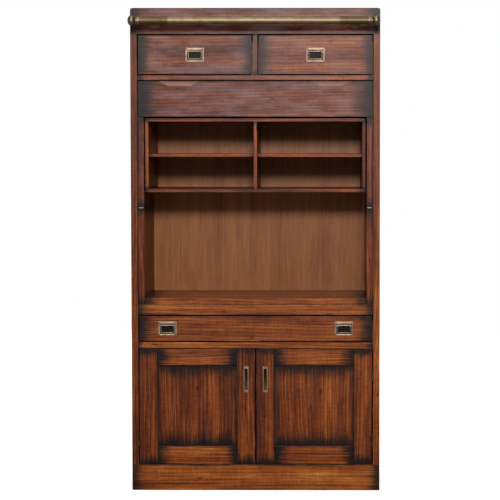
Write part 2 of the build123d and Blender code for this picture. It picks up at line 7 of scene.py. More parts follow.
import bmesh
import bpy
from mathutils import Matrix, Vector


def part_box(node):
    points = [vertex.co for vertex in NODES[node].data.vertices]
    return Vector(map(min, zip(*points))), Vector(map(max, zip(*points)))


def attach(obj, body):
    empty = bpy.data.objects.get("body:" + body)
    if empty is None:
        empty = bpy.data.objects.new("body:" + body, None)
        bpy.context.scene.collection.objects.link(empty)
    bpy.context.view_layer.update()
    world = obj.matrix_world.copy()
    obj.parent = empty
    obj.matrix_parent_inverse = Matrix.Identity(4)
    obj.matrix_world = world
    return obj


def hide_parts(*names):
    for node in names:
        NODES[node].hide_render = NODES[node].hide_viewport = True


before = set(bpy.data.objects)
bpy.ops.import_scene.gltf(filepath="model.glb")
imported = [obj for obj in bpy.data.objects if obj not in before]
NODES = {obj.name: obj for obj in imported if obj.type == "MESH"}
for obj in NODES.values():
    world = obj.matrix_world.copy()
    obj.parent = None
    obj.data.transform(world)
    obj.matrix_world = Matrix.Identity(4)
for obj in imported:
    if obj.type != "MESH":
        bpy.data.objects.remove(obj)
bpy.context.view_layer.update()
MM = 0.001


# ---- Places read from the frame -----------------------------------------------------

def box(node):
    """The low and high corners of a node's box."""
    low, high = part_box(node)
    return Vector(low), Vector(high)


def centre(node):
    """The middle of a node's box."""
    low, high = box(node)
    return (low + high) / 2


def halves(node, axis):
    """The two spans that a node's pair of pieces covers along an axis, one each side of its middle."""
    middle = centre(node)[axis]
    places = [v.co[axis] for v in NODES[node].data.vertices]
    low = [p for p in places if p < middle]
    high = [p for p in places if p > middle]
    return [(min(low), max(low)), (min(high), max(high))]


FACE_Y = box("plinth_board")[0].y
BACK_Y = box("side_left")[1].y
PANEL_TOP = box("frame_panel")[1]
HALF_LEG_JOINT = 1.7 * MM
HINGE_Z = box("frame_legs")[0].z - HALF_LEG_JOINT


# ---- Materials ----------------------------------------------------------------------

def colour(hexcode):
    """A colour written as sRGB hex, made linear for the shader."""
    channels = [int(hexcode[i:i + 2], 16) / 255 for i in (1, 3, 5)]
    return [c / 12.92 if c <= 0.04045 else ((c + 0.055) / 1.055) ** 2.4 for c in channels] + [1.0]


def add(tree, kind, links=None, out=None, stops=None, **settings):
    """Add a node. Settings are its properties, links its inputs, as values or other outputs, and
    stops a colour ramp's. Returns the node, or the output that out names."""
    node = tree.nodes.new(kind)
    for key, value in settings.items():
        setattr(node, key, value)
    for key, value in (links or {}).items():
        if isinstance(value, bpy.types.NodeSocket):
            tree.links.new(value, node.inputs[key])
        else:
            node.inputs[key].default_value = value
    if stops:
        line = node.color_ramp
        while len(line.elements) < len(stops):
            line.elements.new(0.5)
        for element, (place, hexcode) in zip(line.elements, stops):
            element.position = place
            element.color = colour(hexcode)
    return node if out is None else node.outputs[out]


def new_material(name, **shader):
    """A material and its Principled shader, with uniform values on the shader's own sockets."""
    material = bpy.data.materials.new(name)
    material.use_nodes = True
    tree = material.node_tree
    principled = tree.nodes["Principled BSDF"]
    for key, value in shader.items():
        principled.inputs[key.replace("_", " ")].default_value = value
    return material, tree, principled


AXES = {"X": 0, "Y": 1, "Z": 2}
CROSS = {"X": "Z", "Y": "X", "Z": "X"}
THIRD = {"X": "Y", "Y": "Z", "Z": "Y"}
MIX = {"data_type": "RGBA", "blend_type": "MIX"}
SMOOTH = {"interpolation_type": "SMOOTHSTEP"}


def layered(tree, start, layers):
    """A start value plus each layer times its weight."""
    total = start
    for value, weight in layers:
        total = add(tree, "ShaderNodeMath", {0: value, 1: weight, 2: total}, 0, operation="MULTIPLY_ADD")
    return total


def nearest_end(tree, place, spans):
    """Distance from a place to the nearest end of the span that it is in."""
    best = None
    for low, high in spans:
        from_low = add(tree, "ShaderNodeMath", {0: place, 1: low}, 0, operation="SUBTRACT")
        to_high = add(tree, "ShaderNodeMath", {0: high, 1: place}, 0, operation="SUBTRACT")
        inside = add(tree, "ShaderNodeMath", {0: from_low, 1: to_high}, 0, operation="MINIMUM")
        if best is not None:
            inside = add(tree, "ShaderNodeMath", {0: best, 1: inside}, 0, operation="MAXIMUM")
        best = inside
    return best


def wood_figure(tree, grain, shift, ring_mm, wander):
    """Growth rings of a log that runs along the grain, with fibre streaks, bands, clouds and pores."""
    place = add(tree, "ShaderNodeTexCoord", out="Object")
    split = add(tree, "ShaderNodeSeparateXYZ", {0: place})
    along, across, deep = (split.outputs[axis] for axis in (grain, CROSS[grain], THIRD[grain]))
    swapped = add(tree, "ShaderNodeCombineXYZ", {0: along, 1: across, 2: deep}, 0)
    moved = add(tree, "ShaderNodeVectorMath", {0: swapped, 1: shift}, 0, operation="ADD")

    def stretched(u, v):
        return add(tree, "ShaderNodeVectorMath", {0: moved, 1: (u, v, v)}, 0, operation="MULTIPLY")

    def noise(u, v, detail, roughness=0.5):
        links = {"Vector": stretched(u, v), "Scale": 1.0, "Detail": detail, "Roughness": roughness}
        return add(tree, "ShaderNodeTexNoise", links, "Fac")

    drift = layered(tree, -0.5 * wander, [(noise(0.8, 2.0, 1.0), wander)])
    lean = add(tree, "ShaderNodeCombineXYZ", {1: drift, 2: drift}, 0)
    log = add(tree, "ShaderNodeVectorMath", {0: stretched(0.035, 1.0), 1: lean}, 0, operation="ADD")
    ring_scale = 2 * math.pi / (20 * ring_mm * MM)
    wave = {"Vector": log, "Scale": ring_scale, "Distortion": 2.2, "Detail": 3.0, "Detail Scale": 0.8,
            "Detail Roughness": 0.6}
    rings = add(tree, "ShaderNodeTexWave", wave, "Fac", wave_type="RINGS", rings_direction="X",
                wave_profile="SAW")
    return {"rings": rings, "streaks": noise(4.0, 210.0, 4.0, 0.7), "bands": noise(1.1, 19.0, 2.0),
            "clouds": noise(8.0, 26.0, 3.0, 0.6), "flecks": noise(150.0, 22.0, 2.0),
            "pores": noise(24.0, 620.0, 2.0), "along": along, "across": across, "place": split,
            "moved": moved, "knots": stretched(2.6, 7.5)}


STAIN = [(0.0, "#260b03"), (0.28, "#4c1c07"), (0.52, "#783711"), (0.76, "#9d541d"), (1.0, "#c07a34")]
SMOKE = "#0d0a0b"
# Pale greyish pink for the finger scoops: partly wear, partly a painted highlight of the overhead light.
SCOOP_SHEEN_AND_WEAR = "#a4816f"
PORE = "#260c05"
# A cool grey-violet painted sheen, standing in for the reflection of the bright studio on the upper boards.
PAINTED_SHEEN_TINT = "#77707c"
SCOOP_FROM_END, SCOOP_HALF, SCOOP_HEIGHT, SCOOP_DEPTH = 175 * MM, 86 * MM, 23 * MM, 12.4 * MM
SMOKE_WAVER, SMOKE_FIBRES, SIDE_WAVER = 0.05, 0.06, 0.010


def scoop_mask(tree, place):
    """One on the surfaces inside the front panel's two finger scoops, and nought elsewhere."""
    from_middle = add(tree, "ShaderNodeMath", {0: place.outputs["X"]}, 0, operation="ABSOLUTE")
    off = add(tree, "ShaderNodeMath", {0: from_middle, 1: PANEL_TOP.x - SCOOP_FROM_END}, 0,
              operation="SUBTRACT")
    beside = add(tree, "ShaderNodeMath", {0: off}, 0, operation="ABSOLUTE")
    tests = ((beside, "LESS_THAN", SCOOP_HALF), (place.outputs["Y"], "GREATER_THAN", FACE_Y + 0.6 * MM),
             (place.outputs["Y"], "LESS_THAN", FACE_Y + SCOOP_DEPTH),
             (place.outputs["Z"], "GREATER_THAN", PANEL_TOP.z - SCOOP_HEIGHT))
    mask = 1.0
    for value, test, limit in tests:
        passed = add(tree, "ShaderNodeMath", {0: value, 1: limit}, 0, operation=test)
        mask = add(tree, "ShaderNodeMath", {0: mask, 1: passed}, 0, operation="MULTIPLY")
    return mask


def stained_board(name, grain, ends, sides, end_burn, side_burn, depth, shift, tone, painted_sheen, scoops):
    """Solid softwood, stained red-brown, smoked dark at its ends and joints, then satin lacquered.

    The eye sees growth rings, long streaks and a few small knots under a soft shine, which sinks
    to near black where the board meets its neighbours. A painted sheen, a cool grey-violet, stands in
    for the reflection of the bright studio on the upper boards.
    """
    material, tree, shader = new_material(name, Specular_IOR_Level=0.2)
    figure = wood_figure(tree, grain, shift, 14.0, 0.07)
    level = layered(tree, tone - 0.93, [
        (figure["rings"], 0.22), (figure["streaks"], 1.05), (figure["bands"], 0.85),
        (figure["clouds"], 0.48), (figure["flecks"], 0.26)])
    wood = add(tree, "ShaderNodeValToRGB", {"Fac": level}, "Color", STAIN)
    pore = {"Value": figure["pores"], "From Min": 0.32, "From Max": 0.44, "To Min": 0.7, "To Max": 0.0}
    pore = add(tree, "ShaderNodeMapRange", pore, "Result", **SMOOTH)
    wood = add(tree, "ShaderNodeMix", {0: pore, 6: wood, 7: colour(PORE)}, 2, **MIX)
    cells = {"Vector": figure["knots"], "Scale": 1.0}
    from_knot = add(tree, "ShaderNodeTexVoronoi", cells, "Distance", voronoi_dimensions="2D")
    knot = {"Value": from_knot, "From Min": 0.012, "From Max": 0.040, "To Min": 0.85, "To Max": 0.0}
    knot = add(tree, "ShaderNodeMapRange", knot, "Result", **SMOOTH)
    wood = add(tree, "ShaderNodeMix", {0: knot, 6: wood, 7: colour(PORE)}, 2, **MIX)

    # Painted sheen: clouds of cool grey-violet mixed into the colour, in place of a real reflection.
    if painted_sheen > 0:
        painted_sheen_mix = {"Value": figure["clouds"], "From Min": 0.36, "From Max": 0.66, "To Max": 2 * painted_sheen}
        painted_sheen_mix = add(tree, "ShaderNodeMapRange", painted_sheen_mix, "Result", **SMOOTH)
        wood = add(tree, "ShaderNodeMix", {0: painted_sheen_mix, 6: wood, 7: colour(PAINTED_SHEEN_TINT)}, 2, **MIX)
    ragged = add(tree, "ShaderNodeTexNoise", {"Vector": figure["moved"], "Scale": 16.0, "Detail": 3.0}, "Fac")
    end_gap = layered(tree, nearest_end(tree, figure["along"], ends), [
        (ragged, SMOKE_WAVER), (figure["streaks"], SMOKE_FIBRES), (1.0, -(SMOKE_WAVER + SMOKE_FIBRES) / 2)])
    smoke = {"Value": end_gap, "From Min": 0.12 * end_burn * MM, "From Max": end_burn * MM,
             "To Min": depth, "To Max": 0.0}
    smoke = add(tree, "ShaderNodeMapRange", smoke, "Result", **SMOOTH)
    if side_burn > 0:
        side_gap = layered(tree, nearest_end(tree, figure["across"], sides), [
            (ragged, SIDE_WAVER), (1.0, -SIDE_WAVER / 2)])
        edge = {"Value": side_gap, "From Min": -1 * MM, "From Max": side_burn * MM, "To Min": depth,
                "To Max": 0.0}
        edge = add(tree, "ShaderNodeMapRange", edge, "Result", **SMOOTH)
        smoke = add(tree, "ShaderNodeMath", {0: smoke, 1: edge}, 0, operation="MAXIMUM")
    wood = add(tree, "ShaderNodeMix", {0: smoke, 6: wood, 7: colour(SMOKE)}, 2, **MIX)
    # Painted highlight with some wear: the finger scoops turn pale greyish pink, as if catching the overhead
    # light.
    if scoops:
        worn = add(tree, "ShaderNodeMath", {0: scoop_mask(tree, figure["place"]), 1: 0.6}, 0,
                   operation="MULTIPLY")
        wood = add(tree, "ShaderNodeMix", {0: worn, 6: wood, 7: colour(SCOOP_SHEEN_AND_WEAR)}, 2, **MIX)
    tree.links.new(wood, shader.inputs["Base Color"])

    tree.links.new(layered(tree, 0.28, [(figure["streaks"], 0.24)]), shader.inputs["Roughness"])
    relief = layered(tree, figure["streaks"], [(figure["rings"], 0.25), (figure["clouds"], 0.6)])
    bump = {"Strength": 0.25, "Distance": 0.6 * MM, "Height": relief}
    tree.links.new(add(tree, "ShaderNodeBump", bump, "Normal"), shader.inputs["Normal"])
    return material


def plain_wood(name, grain, shift, stops, roughness, rings, streaks):
    """Unsmoked boards: the veneered back and the drawers' own pale pine, thinly oiled.

    Rings and streaks weigh the growth rings against the fine straight figure.
    """
    material, tree, shader = new_material(name, Roughness=roughness, Specular_IOR_Level=0.25)
    figure = wood_figure(tree, grain, shift, 22.0, 0.10)
    level = layered(tree, 0.5 - (rings + streaks + 0.40 + 0.30) / 2, [
        (figure["rings"], rings), (figure["streaks"], streaks), (figure["bands"], 0.40),
        (figure["clouds"], 0.30)])
    wood = add(tree, "ShaderNodeValToRGB", {"Fac": level}, "Color", stops)
    pore = {"Value": figure["pores"], "From Min": 0.30, "From Max": 0.42, "To Min": 0.4, "To Max": 0.0}
    pore = add(tree, "ShaderNodeMapRange", pore, "Result", **SMOOTH)
    wood = add(tree, "ShaderNodeMix", {0: pore, 6: wood, 7: colour(stops[0][1])}, 2, **MIX)
    tree.links.new(wood, shader.inputs["Base Color"])
    bump = {"Strength": 0.15, "Distance": 0.4 * MM, "Height": figure["streaks"]}
    tree.links.new(add(tree, "ShaderNodeBump", bump, "Normal"), shader.inputs["Normal"])
    return material


DRAWN_BRASS = [(0.2, "#6c5c43"), (0.5, "#87765a"), (0.85, "#9f9073")]
PLATE_BRASS = [(0.2, "#5e4c3d"), (0.45, "#8a7461"), (0.62, "#9f8976"), (0.85, "#bba694")]
OLIVE = "#54452c"
BRONZE = [(0.2, "#2a2018"), (0.5, "#52412f"), (0.8, "#7c694e")]


def aged_brass(name, stops, roughness, recess_shade=None, dull_beyond=None):
    """Brass that was polished and left to tarnish: a soft beige patina, brighter where it is worn.

    The recess_shade colour is painted on the metal behind the face: painted shade, dark in the pan of
    a pull behind its plate and in a door pull's slot. Beyond dull_beyond to either side, at the ends of
    the rail, hands have left it a dull olive brown.
    """
    material, tree, shader = new_material(name, Metallic=1.0)
    place = add(tree, "ShaderNodeTexCoord", out="Object")
    cloud = add(tree, "ShaderNodeTexNoise", {"Vector": place, "Scale": 38.0, "Detail": 4.0}, "Fac")
    fleck = add(tree, "ShaderNodeTexNoise", {"Vector": place, "Scale": 420.0, "Detail": 2.0}, "Fac")
    patina = layered(tree, 0.0, [(cloud, 0.8), (fleck, 0.2)])
    metal = add(tree, "ShaderNodeValToRGB", {"Fac": patina}, "Color", stops)
    # Painted shade: behind the face the metal takes the dark recess_shade colour.
    if recess_shade:
        split = add(tree, "ShaderNodeSeparateXYZ", {0: place})
        hidden = {"Value": split.outputs["Y"], "From Min": FACE_Y - 0.5 * MM, "From Max": FACE_Y + 2.5 * MM}
        hidden = add(tree, "ShaderNodeMapRange", hidden, "Result", **SMOOTH)
        metal = add(tree, "ShaderNodeMix", {0: hidden, 6: metal, 7: colour(recess_shade)}, 2, **MIX)
    if dull_beyond:
        split = add(tree, "ShaderNodeSeparateXYZ", {0: place})
        aside = add(tree, "ShaderNodeMath", {0: split.outputs["X"]}, 0, operation="ABSOLUTE")
        dull = {"Value": aside, "From Min": dull_beyond, "From Max": dull_beyond + 4 * MM, "To Max": 0.7}
        dull = add(tree, "ShaderNodeMapRange", dull, "Result", **SMOOTH)
        metal = add(tree, "ShaderNodeMix", {0: dull, 6: metal, 7: colour(OLIVE)}, 2, **MIX)
    tree.links.new(metal, shader.inputs["Base Color"])
    tree.links.new(layered(tree, roughness - 0.05, [(cloud, 0.1)]), shader.inputs["Roughness"])
    bump = {"Strength": 0.08, "Distance": 0.1 * MM, "Height": fleck}
    tree.links.new(add(tree, "ShaderNodeBump", bump, "Normal"), shader.inputs["Normal"])
    return material


# ---- Dressing the boards -------------------------------------------------------------

# Each board: grain axis, smoke at the ends and along the sides in millimetres, its depth, and a tone shift.
BOARDS = {
    "fascia_board": ("X", 95, 8, 0.94, -0.04),
    "plinth_board": ("X", 70, 5, 0.92, 0.16),
    "side_left": ("Z", 70, 0, 0.90, -0.12),
    "side_right": ("Z", 70, 0, 0.90, 0.0),
    "top_panel": ("X", 40, 20, 0.7, 0.0),
    "base_deck": ("X", 30, 10, 0.8, -0.02),
    "lower_deck": ("X", 42, 0, 0.92, 0.15),
    "desk_rail": ("X", 62, 5, 0.94, 0.15),
    "worktop": ("X", 80, 0, 0.90, 0.17),
    "upper_deck": ("X", 42, 0, 0.90, 0.06),
    "drawer_divider": ("Z", 22, 3, 0.90, 0.0),
    "niche_side_left": ("Z", 44, 0, 0.94, -0.06),
    "niche_side_right": ("Z", 44, 0, 0.94, -0.14),
    "cubby_top": ("X", 40, 0, 0.90, 0.0),
    "cubby_base": ("X", 40, 0, 0.90, 0.02),
    "cubby_sides": ("Z", 20, 0, 0.90, -0.04),
    "cubby_divider": ("Z", 22, 0, 0.90, -0.04),
    "cubby_shelves": ("X", 22, 0, 0.90, -0.02),
    "cupboard_shelf": ("X", 20, 0, 0.80, 0.0),
    "drawer_left_front": ("X", 66, 8, 0.94, -0.05),
    "drawer_right_front": ("X", 66, 8, 0.94, 0.03),
    "desk_drawer_front": ("X", 84, 7, 0.97, 0.02),
    "frame_panel": ("X", 105, 8, 0.94, -0.05),
    "frame_legs": ("Z", 58, 2, 0.95, -0.04),
    "door_left_stiles": ("Z", 48, 5, 0.95, -0.08),
    "door_right_stiles": ("Z", 48, 5, 0.94, 0.0),
    "door_left_rails": ("X", 74, 4, 0.97, 0.10),
    "door_right_rails": ("X", 74, 4, 0.97, 0.10),
    "door_left_panel": ("Z", 90, 40, 0.97, -0.05),
    "door_right_panel": ("Z", 90, 40, 0.97, 0.03),
}
# Nodes that hold two boards, which lie one beyond the other along the grain, or side by side across it.
PAIRED_ALONG = {"cubby_shelves"}
PAIRED_ACROSS = {"frame_legs", "cubby_sides", "door_left_stiles", "door_right_stiles", "door_left_rails",
                 "door_right_rails"}
# How much painted sheen a board shows: a cool grey-violet in its colour, standing in for the studio's
# reflection.
PAINTED_SHEEN_BY_BOARD = {"fascia_board": 0.15, "drawer_left_front": 0.16, "drawer_right_front": 0.11,
           "frame_panel": 0.15, "upper_deck": 0.10, "frame_legs": 0.06, "drawer_divider": 0.08}
# Each board is cut from its own place in the log, one step on from the board before.
LOG_STEP, LOG_START = (1.37, 0.061, 0.043), (0.0, 0.05, 0.06)
LOG_LENGTH = 3.0
PALE_WOOD = [(0.2, "#7d5a35"), (0.5, "#a98355"), (0.8, "#c8a577")]
BACK_WOOD = [(0.1, "#54260f"), (0.4, "#82491f"), (0.65, "#99602f"), (0.95, "#b37b48")]


def set_material(obj, material):
    """Give an object one material, in place of what it has."""
    obj.data.materials.clear()
    obj.data.materials.append(material)


def dress_boards():
    """A material of its own for each smoked board, fitted to the ends and sides that its box gives."""
    for number, (node, (grain, end_burn, side_burn, depth, tone)) in enumerate(BOARDS.items()):
        low, high = box(node)
        u, v = AXES[grain], AXES[CROSS[grain]]
        ends = halves(node, u) if node in PAIRED_ALONG else [(low[u], high[u])]
        sides = halves(node, v) if node in PAIRED_ACROSS else [(low[v], high[v])]
        if node.startswith("niche_side"):
            ends = [(low[u], HINGE_Z), (HINGE_Z, high[u])]
        shift = tuple(step * (number + 1) % LOG_LENGTH + start for step, start in zip(LOG_STEP, LOG_START))
        material = stained_board(f"smoked_pine_{node}", grain, ends, sides, end_burn, side_burn, depth,
                                 shift, tone, PAINTED_SHEEN_BY_BOARD.get(node, 0.0), node == "frame_panel")
        set_material(NODES[node], material)


def dress_plain_boards():
    """The veneered back, and pale wood along the grain of each drawer part, cleat and hidden board."""
    back = plain_wood("stained_veneer_back", "Z", (0.4, 0.21, 0.07), BACK_WOOD, 0.42, 0.06, 0.75)
    pale_x = plain_wood("oiled_pine_across", "X", (0.9, 0.13, 0.05), PALE_WOOD, 0.5, 0.25, 0.45)
    pale_y = plain_wood("oiled_pine_fore_and_aft", "Y", (0.2, 0.33, 0.09), PALE_WOOD, 0.5, 0.25, 0.45)
    set_material(NODES["back_panel"], back)
    for node in NODES:
        if node.endswith("_bottom") or node in ("dust_board", "plinth_back_rail"):
            set_material(NODES[node], pale_x)
        if node.endswith("_box") or node == "shelf_cleats":
            set_material(NODES[node], pale_y)


# ---- Mesh helpers --------------------------------------------------------------------

def as_object(name, bm, material, sharp=35.0):
    """Close up a bmesh as a smooth-shaded object at the origin."""
    bmesh.ops.remove_doubles(bm, verts=bm.verts, dist=1e-6)
    bmesh.ops.recalc_face_normals(bm, faces=bm.faces)
    mesh = bpy.data.meshes.new(name)
    bm.to_mesh(mesh)
    bm.free()
    mesh.shade_smooth()
    mesh.set_sharp_from_angle(angle=math.radians(sharp))
    obj = bpy.data.objects.new(name, mesh)
    bpy.context.scene.collection.objects.link(obj)
    mesh.materials.append(material)
    return obj


def skin_rings(bm, rings, caps=True):
    """Join rings of points, all of one length, into a skin, with a flat cap at each end."""
    rows = [[bm.verts.new(point) for point in ring] for ring in rings]
    count = len(rings[0])
    for row, after in zip(rows, rows[1:]):
        for i in range(count):
            j = (i + 1) % count
            bm.faces.new((row[i], row[j], after[j], after[i]))
    if caps:
        bm.faces.new(rows[0])
        bm.faces.new(list(reversed(rows[-1])))


def turned(bm, profile, start, along, around=96, lobes=0, lobe_depth=0.0):
    """Spin (length, radius) points about an axis from start. Lobes scallop the rim."""
    along = Vector(along)
    side = along.orthogonal().normalized()
    other = along.cross(side)
    rings = []
    for length, radius in profile:
        ring = []
        for i in range(around):
            angle = 2 * math.pi * i / around
            reach = radius * (1 - lobe_depth * (0.5 - 0.5 * math.cos(lobes * angle))) if lobes else radius
            spoke = side * math.cos(angle) + other * math.sin(angle)
            ring.append(Vector(start) + along * length + spoke * reach)
        rings.append(ring)
    skin_rings(bm, rings)


def rounded_outline(half_w, half_h, corner, depth, centre_z, steps=8):
    """Points round a rounded rectangle that faces -Y."""
    points = []
    for quarter, (sx, sz) in enumerate(((1, 1), (-1, 1), (-1, -1), (1, -1))):
        for i in range(steps + 1):
            angle = math.pi / 2 * (quarter + i / steps)
            x = sx * (half_w - corner) + corner * math.cos(angle)
            z = sz * (half_h - corner) + corner * math.sin(angle)
            points.append(Vector((x, depth, z + centre_z)))
    return points


def bent_rod(bm, points, radii, around=20):
    """A round rod along points in the XZ plane, with its own radius at each, and flat ends."""
    rings = []
    for i, (point, radius) in enumerate(zip(points, radii)):
        before = points[max(i - 1, 0)]
        after = points[min(i + 1, len(points) - 1)]
        along = (after - before).normalized()
        side = Vector((0, 1, 0))
        other = along.cross(side)
        rings.append([point + side * radius * math.cos(a) + other * radius * math.sin(a)
                      for a in (2 * math.pi * k / around for k in range(around))])
    skin_rings(bm, rings)


# ---- Screws --------------------------------------------------------------------------

def screw_tree():
    """Geometry Nodes: a slotted, bevel-edged screw head at each point, each turned its own way."""
    tree = bpy.data.node_groups.new("slotted_screw_heads", "GeometryNodeTree")
    sockets = (("Points", "NodeSocketGeometry", None), ("Head Radius", "NodeSocketFloat", 3.0 * MM),
               ("Head Height", "NodeSocketFloat", 1.0 * MM), ("Slot Width", "NodeSocketFloat", 0.9 * MM),
               ("Seed", "NodeSocketInt", 3), ("Finish", "NodeSocketMaterial", None))
    for label, kind, value in sockets:
        socket = tree.interface.new_socket(label, in_out="INPUT", socket_type=kind)
        if value is not None:
            socket.default_value = value
    tree.interface.new_socket("Heads", in_out="OUTPUT", socket_type="NodeSocketGeometry")
    given = tree.nodes.new("NodeGroupInput").outputs
    radius, height, slot = given["Head Radius"], given["Head Height"], given["Slot Width"]
    crown = add(tree, "ShaderNodeMath", {0: radius, 1: 0.8}, 0, operation="MULTIPLY")
    cone = {"Vertices": 20, "Radius Bottom": radius, "Depth": height, "Radius Top": crown}
    head = add(tree, "GeometryNodeMeshCone", cone, "Mesh")
    length = add(tree, "ShaderNodeMath", {0: radius, 1: 2.4}, 0, operation="MULTIPLY")
    size = add(tree, "ShaderNodeCombineXYZ", {0: length, 1: slot, 2: height}, 0)
    cutter = add(tree, "GeometryNodeMeshCube", {"Size": size}, "Mesh")
    raised = add(tree, "ShaderNodeCombineXYZ", {2: height}, 0)
    lifted = add(tree, "GeometryNodeTransform", {"Geometry": cutter, "Translation": raised}, "Geometry")
    cut = add(tree, "GeometryNodeMeshBoolean", {"Mesh 1": head, "Mesh 2": lifted}, "Mesh",
              operation="DIFFERENCE")
    turn = add(tree, "FunctionNodeRandomValue", {"Max": math.pi, "Seed": given["Seed"]}, data_type="FLOAT")
    spin = add(tree, "ShaderNodeCombineXYZ", {0: math.pi / 2, 1: [o for o in turn.outputs if o.enabled][0]})
    placed = add(tree, "GeometryNodeInstanceOnPoints",
                 {"Points": given["Points"], "Instance": cut, "Rotation": spin.outputs[0]})
    solid = add(tree, "GeometryNodeRealizeInstances", {"Geometry": placed.outputs["Instances"]})
    finished = add(tree, "GeometryNodeSetMaterial", {"Geometry": solid.outputs["Geometry"],
                                                     "Material": given["Finish"]})
    out = tree.nodes.new("NodeGroupOutput")
    tree.links.new(finished.outputs["Geometry"], out.inputs["Heads"])
    return tree


def screw_heads(tree, name, points, radius, seed, material):
    """Run the screw tree on a set of points and keep the result as a plain mesh."""
    holder = bpy.data.objects.new("points", bpy.data.meshes.new("points"))
    holder.data.from_pydata(points, [], [])
    bpy.context.scene.collection.objects.link(holder)
    modifier = holder.modifiers.new("heads", "NODES")
    modifier.node_group = tree
    ids = {item.name: item.identifier for item in tree.interface.items_tree if item.in_out == "INPUT"}
    modifier[ids["Head Radius"]] = radius
    modifier[ids["Seed"]] = seed
    modifier[ids["Finish"]] = material
    evaluated = holder.evaluated_get(bpy.context.evaluated_depsgraph_get())
    mesh = bpy.data.meshes.new_from_object(evaluated)
    mesh.name = name
    mesh.set_sharp_from_angle(angle=math.radians(30))
    bpy.data.objects.remove(holder)
    obj = bpy.data.objects.new(name, mesh)
    bpy.context.scene.collection.objects.link(obj)
    return obj


# ---- Drawer and door pulls -----------------------------------------------------------

PULLS = {
    "drawer_left": ("drawer_left_pull", ["drawer_left_bail"]),
    "drawer_right": ("drawer_right_pull", ["drawer_right_bail"]),
    "desk_drawer": ("desk_drawer_pulls", ["desk_drawer_bail_left", "desk_drawer_bail_right"]),
}
PLATE_HALF = (39 * MM, 30 * MM)
PAN_HALF = (30.5 * MM, 16.5 * MM)
PAN_DROP = 4 * MM
PLATE_PROUD = 1.5 * MM
BAIL_R = 2.3 * MM
SCREW_PROUD = 0.2 * MM
SCREW_INSET = 5.6 * MM


def pull_rings(at):
    """Section rings of the plate and its pan, from the pan's outside round to its floor."""
    face = at.y
    plate_w, plate_h = PLATE_HALF
    pan_w, pan_h = PAN_HALF
    drop = at.z - PAN_DROP
    wall, rim = 1.5 * MM, 0.9 * MM
    # Each ring: half width, half height, corner radius, place in depth, height of its middle.
    layout = [
        # The pan's outside, then the plate's back, edge and rounded rim.
        (pan_w + wall, pan_h + wall, 5 * MM, face + 13.4 * MM, drop),
        (pan_w + wall, pan_h + wall, 5 * MM, face + 3.5 * MM, drop),
        (plate_w, plate_h, 2.6 * MM, face + 3.5 * MM, at.z),
        (plate_w, plate_h, 2.6 * MM, face + rim, at.z),
        (plate_w - 0.3 * rim, plate_h - 0.3 * rim, 2.5 * MM, face + 0.3 * rim, at.z),
        (plate_w - rim, plate_h - rim, 2.2 * MM, face, at.z),
        # A pressed groove round the mouth, then the pan's wall down to its floor.
        (pan_w + 3.6 * MM, pan_h + 3.6 * MM, 6 * MM, face, drop),
        (pan_w + 3.0 * MM, pan_h + 3.0 * MM, 6 * MM, face + 0.5 * MM, drop),
        (pan_w + 2.2 * MM, pan_h + 2.2 * MM, 5.5 * MM, face + 0.5 * MM, drop),
        (pan_w + 1.4 * MM, pan_h + 1.4 * MM, 5 * MM, face, drop),
        (pan_w + 0.5 * MM, pan_h + 0.5 * MM, 4.5 * MM, face, drop),
        (pan_w, pan_h, 4.2 * MM, face + 0.6 * MM, drop),
        (pan_w, pan_h, 4.2 * MM, face + 10 * MM, drop),
        (pan_w - 2 * MM, pan_h - 2 * MM, 3 * MM, face + 12 * MM, drop),
    ]
    return [[p + Vector((at.x, 0, 0)) for p in rounded_outline(*ring)] for ring in layout]


def bail_shape(bm, low, high):
    """A bent handle that fills its CAD box: two arms, a bar that swells at the middle, and pivots."""
    middle_x = (low.x + high.x) / 2
    half = PAN_HALF[0] - 1.2 * MM - BAIL_R
    y = (low.y + high.y) / 2
    top, bottom, bend = high.z - BAIL_R, low.z + BAIL_R, 5 * MM
    points = [Vector((middle_x - half, y, top))]
    for side, start in ((-1, math.pi), (1, 1.5 * math.pi)):
        for i in range(9):
            angle = start + math.pi / 2 * i / 8
            corner = Vector((middle_x + side * (half - bend), y, bottom + bend))
            points.append(corner + Vector((math.cos(angle), 0, math.sin(angle))) * bend)
        if side == -1:
            for i in range(1, 12):
                t = i / 12
                points.append(Vector((middle_x + (half - bend) * (2 * t - 1), y, bottom)))
    points.append(Vector((middle_x + half, y, top)))
    swell, slimmed = 0.16, 0.096
    radii = []
    for point in points:
        bulge = max(0.0, 1 - ((point.x - middle_x) / half) ** 2)
        radii.append(BAIL_R * (1 + swell * bulge - slimmed))
    bent_rod(bm, points, radii)
    for side in (-1, 1):
        eye = Vector((middle_x + side * half, y, top))
        turned(bm, [(-1.9 * MM, 1.6 * MM), (-1.5 * MM, BAIL_R), (1.5 * MM, BAIL_R), (1.9 * MM, 1.6 * MM),
                    (3.8 * MM, 1.5 * MM)], eye, (side, 0, 0), around=24)


def drawer_pulls(plate_brass, bail_brass, screw_brass, screws):
    """Flush plates with a pressed pan, a bail handle in each pan, and four screws to a plate."""
    for body, (plate_node, bail_nodes) in PULLS.items():
        plate_low, plate_high = box(plate_node)
        pull_z = (plate_low.z + plate_high.z) / 2
        bm = bmesh.new()
        corners = []
        for bail_node in bail_nodes:
            low, high = box(bail_node)
            at = Vector(((low.x + high.x) / 2, FACE_Y - PLATE_PROUD, pull_z))
            skin_rings(bm, pull_rings(at))
            across, up = (half - SCREW_INSET for half in PLATE_HALF)
            corners += [at + Vector((sx * across, -SCREW_PROUD, sz * up)) for sx in (-1, 1) for sz in (-1, 1)]
            rod = bmesh.new()
            bail_shape(rod, low, high)
            handle = as_object(bail_node + "_handle", rod, bail_brass, 50)
            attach(handle, bail_node)
            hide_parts(bail_node)
        plate = as_object(plate_node + "_plate", bm, plate_brass, 40)
        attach(plate, body)
        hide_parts(plate_node)
        heads = screw_heads(screws, plate_node + "_screws", corners, 2.6 * MM, len(body), screw_brass)
        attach(heads, body)


